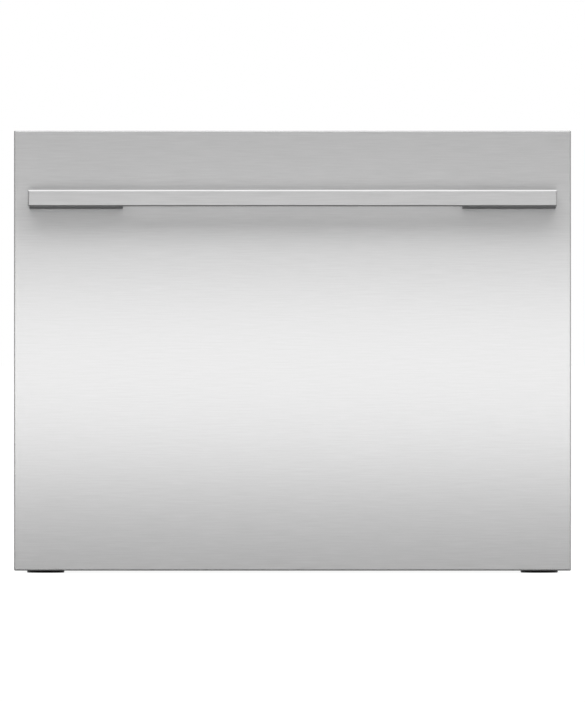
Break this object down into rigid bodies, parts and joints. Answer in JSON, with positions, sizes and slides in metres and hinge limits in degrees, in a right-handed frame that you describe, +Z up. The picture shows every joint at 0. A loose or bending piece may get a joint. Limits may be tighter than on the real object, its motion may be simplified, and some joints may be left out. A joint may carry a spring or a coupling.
{
  "type": "dishwasher drawer",
  "caption": "Built-in dishwasher drawer: brushed steel front with a full-width square bar handle, on a tub that slides out of a steel chassis.",
  "frame": {"origin": "on the floor, under the middle of the machine's overall box, handle included", "axes": "+X to the right as seen from the front, +Y from the front panel to the back, +Z up; the drawer opens along -Y"},
  "size_m": [0.596, 0.618, 0.474],
  "materials": {
    "steel_front": "fine horizontal brushing, satin",
    "steel_screws": "plain",
    "galvanised": "zinc-coated sheet, matt",
    "slide_steel": "zinc-plated, satin",
    "ball_cages": "plain strip with polished balls",
    "filter_steel": "perforated, satin",
    "stator_iron": "varnished laminations",
    "brass_gear": "plain",
    "black_plastic": "matt",
    "white_plastic": "matt",
    "grey_plastic": "matt",
    "tub_plastic": "satin moulding",
    "rack_coating": "nylon-coated wire",
    "seal_rubber": "matt",
    "display_glass": "gloss"
  },
  "bodies": {
    "chassis": {"base_tray": "black_plastic", "left_side_panel": "galvanised", "right_side_panel": "galvanised", "rear_panel": "galvanised", "top_panel": "galvanised", "door_gasket": "seal_rubber", "slide_outers": "slide_steel", "lid_actuators": "white_plastic", "service_pocket": "black_plastic", "inlet_valve": "white_plastic", "drain_spigot": "black_plastic", "chassis_hoses": "seal_rubber", "chassis_screws": "steel_screws"},
    "drawer": {"door_panel": "steel_front", "handle_bar": "steel_front", "handle_blocks": "steel_front", "handle_screws": "steel_screws", "inner_door": "white_plastic", "control_housing": "black_plastic", "display_lens": "display_glass", "tub": "tub_plastic", "sump_bowl": "grey_plastic", "pump_cover": "grey_plastic", "motor_stator": "stator_iron", "filter_plate": "filter_steel", "slide_inners": "slide_steel", "tub_brackets": "galvanised", "left_rack": "rack_coating", "right_rack": "rack_coating", "cutlery_basket": "grey_plastic", "dispenser_body": "grey_plastic", "drawer_hoses": "seal_rubber"},
    "slide_middle": {"slide_middles": "slide_steel"},
    "cage_outer": {"ball_cages_outer": "ball_cages"},
    "cage_inner": {"ball_cages_inner": "ball_cages"},
    "lid": {"lid": "white_plastic", "lid_seal": "seal_rubber", "lid_links": "slide_steel"},
    "pinions": {"lid_pinions": "brass_gear"},
    "hose_arm_rear": {"hose_arm_rear": "black_plastic"},
    "hose_arm_front": {"hose_arm_front": "black_plastic"},
    "spray_arm": {"spray_arm": "grey_plastic"},
    "pump_rotor": {"pump_rotor": "grey_plastic"},
    "drain_filter": {"drain_filter": "grey_plastic"},
    "dispenser_door": {"dispenser_door": "white_plastic"},
    "rinse_cap": {"rinse_cap": "grey_plastic"},
    "left_outer_tines": {"left_outer_tines": "rack_coating"},
    "left_inner_tines": {"left_inner_tines": "rack_coating"},
    "right_outer_tines": {"right_outer_tines": "rack_coating"},
    "right_inner_tines": {"right_inner_tines": "rack_coating"},
    "left_cup_rack": {"left_cup_rack": "rack_coating"},
    "right_cup_rack": {"right_cup_rack": "rack_coating"},
    "power_button": {"power_button": "grey_plastic"},
    "program_button": {"program_button": "grey_plastic"},
    "option_button": {"option_button": "grey_plastic"},
    "start_button": {"start_button": "grey_plastic"},
    "foot_front_left": {"foot_front_left": "black_plastic"},
    "foot_front_right": {"foot_front_right": "black_plastic"},
    "foot_rear_left": {"foot_rear_left": "black_plastic"},
    "foot_rear_right": {"foot_rear_right": "black_plastic"}
  },
  "joints": [
    {"name": "drawer_slide", "type": "slide", "parent": "chassis", "child": "drawer", "axis": [0, -1, 0], "range_m": [0, 0.52]},
    {"name": "slide_middle_travel", "type": "slide", "parent": "chassis", "child": "slide_middle", "axis": [0, -1, 0], "range_m": [0, 0.26]},
    {"name": "cage_outer_travel", "type": "slide", "parent": "chassis", "child": "cage_outer", "axis": [0, -1, 0], "range_m": [0, 0.13]},
    {"name": "cage_inner_travel", "type": "slide", "parent": "chassis", "child": "cage_inner", "axis": [0, -1, 0], "range_m": [0, 0.39]},
    {"name": "lid_lift", "type": "slide", "parent": "chassis", "child": "lid", "axis": [0, 0, -1], "range_m": [0, 0.01]},
    {"name": "pinion_spin", "type": "hinge", "parent": "chassis", "child": "pinions", "pos_m": [0, 0.06, 0.35], "axis": [1, 0, 0], "range_deg": [0, 64]},
    {"name": "hose_arm_base", "type": "hinge", "parent": "chassis", "child": "hose_arm_rear", "pos_m": [-0.2, 0.281, 0.029], "axis": [0, 0, 1], "range_deg": [-42.2, 0]},
    {"name": "hose_arm_elbow", "type": "hinge", "parent": "hose_arm_rear", "child": "hose_arm_front", "pos_m": [0.19912, 0.2545, 0.043], "axis": [0, 0, 1], "range_deg": [0, 84.5]},
    {"name": "spray_arm_spin", "type": "hinge", "parent": "drawer", "child": "spray_arm", "pos_m": [0, 0.0385, 0.106], "axis": [0, 0, 1], "continuous": true},
    {"name": "pump_rotor_spin", "type": "hinge", "parent": "drawer", "child": "pump_rotor", "pos_m": [0, 0.0385, 0.068], "axis": [0, 0, 1], "continuous": true},
    {"name": "drain_filter_turn", "type": "hinge", "parent": "drawer", "child": "drain_filter", "pos_m": [0, -0.0455, 0.088], "axis": [0, 0, 1], "range_deg": [0, 90]},
    {"name": "dispenser_door_hinge", "type": "hinge", "parent": "drawer", "child": "dispenser_door", "pos_m": [-0.04, -0.191, 0.389], "axis": [1, 0, 0], "range_deg": [0, 100]},
    {"name": "rinse_cap_turn", "type": "hinge", "parent": "drawer", "child": "rinse_cap", "pos_m": [0.042, -0.194, 0.348], "axis": [0, 1, 0], "range_deg": [0, 90]},
    {"name": "left_outer_tines_fold", "type": "hinge", "parent": "drawer", "child": "left_outer_tines", "pos_m": [-0.2, 0.086, 0.13175], "axis": [0, 1, 0], "range_deg": [0, 82]},
    {"name": "left_inner_tines_fold", "type": "hinge", "parent": "drawer", "child": "left_inner_tines", "pos_m": [-0.104, 0.086, 0.13175], "axis": [0, 1, 0], "range_deg": [0, 82]},
    {"name": "left_cup_rack_fold", "type": "hinge", "parent": "drawer", "child": "left_cup_rack", "pos_m": [-0.255, 0.086, 0.239], "axis": [0, 1, 0], "range_deg": [0, 90]},
    {"name": "right_outer_tines_fold", "type": "hinge", "parent": "drawer", "child": "right_outer_tines", "pos_m": [0.2, 0.086, 0.13175], "axis": [0, -1, 0], "range_deg": [0, 82]},
    {"name": "right_inner_tines_fold", "type": "hinge", "parent": "drawer", "child": "right_inner_tines", "pos_m": [0.104, 0.086, 0.13175], "axis": [0, -1, 0], "range_deg": [0, 82]},
    {"name": "right_cup_rack_fold", "type": "hinge", "parent": "drawer", "child": "right_cup_rack", "pos_m": [0.255, 0.086, 0.239], "axis": [0, -1, 0], "range_deg": [0, 90]},
    {"name": "power_button_press", "type": "slide", "parent": "drawer", "child": "power_button", "axis": [0, 0, -1], "range_m": [0, 0.0012], "stiffness_N_per_m": 400, "springref_m": -0.002},
    {"name": "program_button_press", "type": "slide", "parent": "drawer", "child": "program_button", "axis": [0, 0, -1], "range_m": [0, 0.0012], "stiffness_N_per_m": 400, "springref_m": -0.002},
    {"name": "option_button_press", "type": "slide", "parent": "drawer", "child": "option_button", "axis": [0, 0, -1], "range_m": [0, 0.0012], "stiffness_N_per_m": 400, "springref_m": -0.002},
    {"name": "start_button_press", "type": "slide", "parent": "drawer", "child": "start_button", "axis": [0, 0, -1], "range_m": [0, 0.0012], "stiffness_N_per_m": 400, "springref_m": -0.002},
    {"name": "foot_front_left_height", "type": "slide", "parent": "chassis", "child": "foot_front_left", "axis": [0, 0, -1], "range_m": [0, 0.015]},
    {"name": "foot_front_right_height", "type": "slide", "parent": "chassis", "child": "foot_front_right", "axis": [0, 0, -1], "range_m": [0, 0.015]},
    {"name": "foot_rear_left_height", "type": "slide", "parent": "chassis", "child": "foot_rear_left", "axis": [0, 0, -1], "range_m": [0, 0.015]},
    {"name": "foot_rear_right_height", "type": "slide", "parent": "chassis", "child": "foot_rear_right", "axis": [0, 0, -1], "range_m": [0, 0.015]}
  ],
  "couplings": [
    {"joint": "slide_middle_travel", "follows": "drawer_slide", "ratio": 0.5},
    {"joint": "cage_outer_travel", "follows": "drawer_slide", "ratio": 0.25},
    {"joint": "cage_inner_travel", "follows": "drawer_slide", "ratio": 0.75},
    {"joint": "pinion_spin", "follows": "lid_lift", "rad_per_m": 111.11},
    {"joint": "hose_arm_base", "follows": "drawer_slide", "rad_per_m": -1.4079},
    {"joint": "hose_arm_elbow", "follows": "drawer_slide", "rad_per_m": 2.8158}
  ]
}
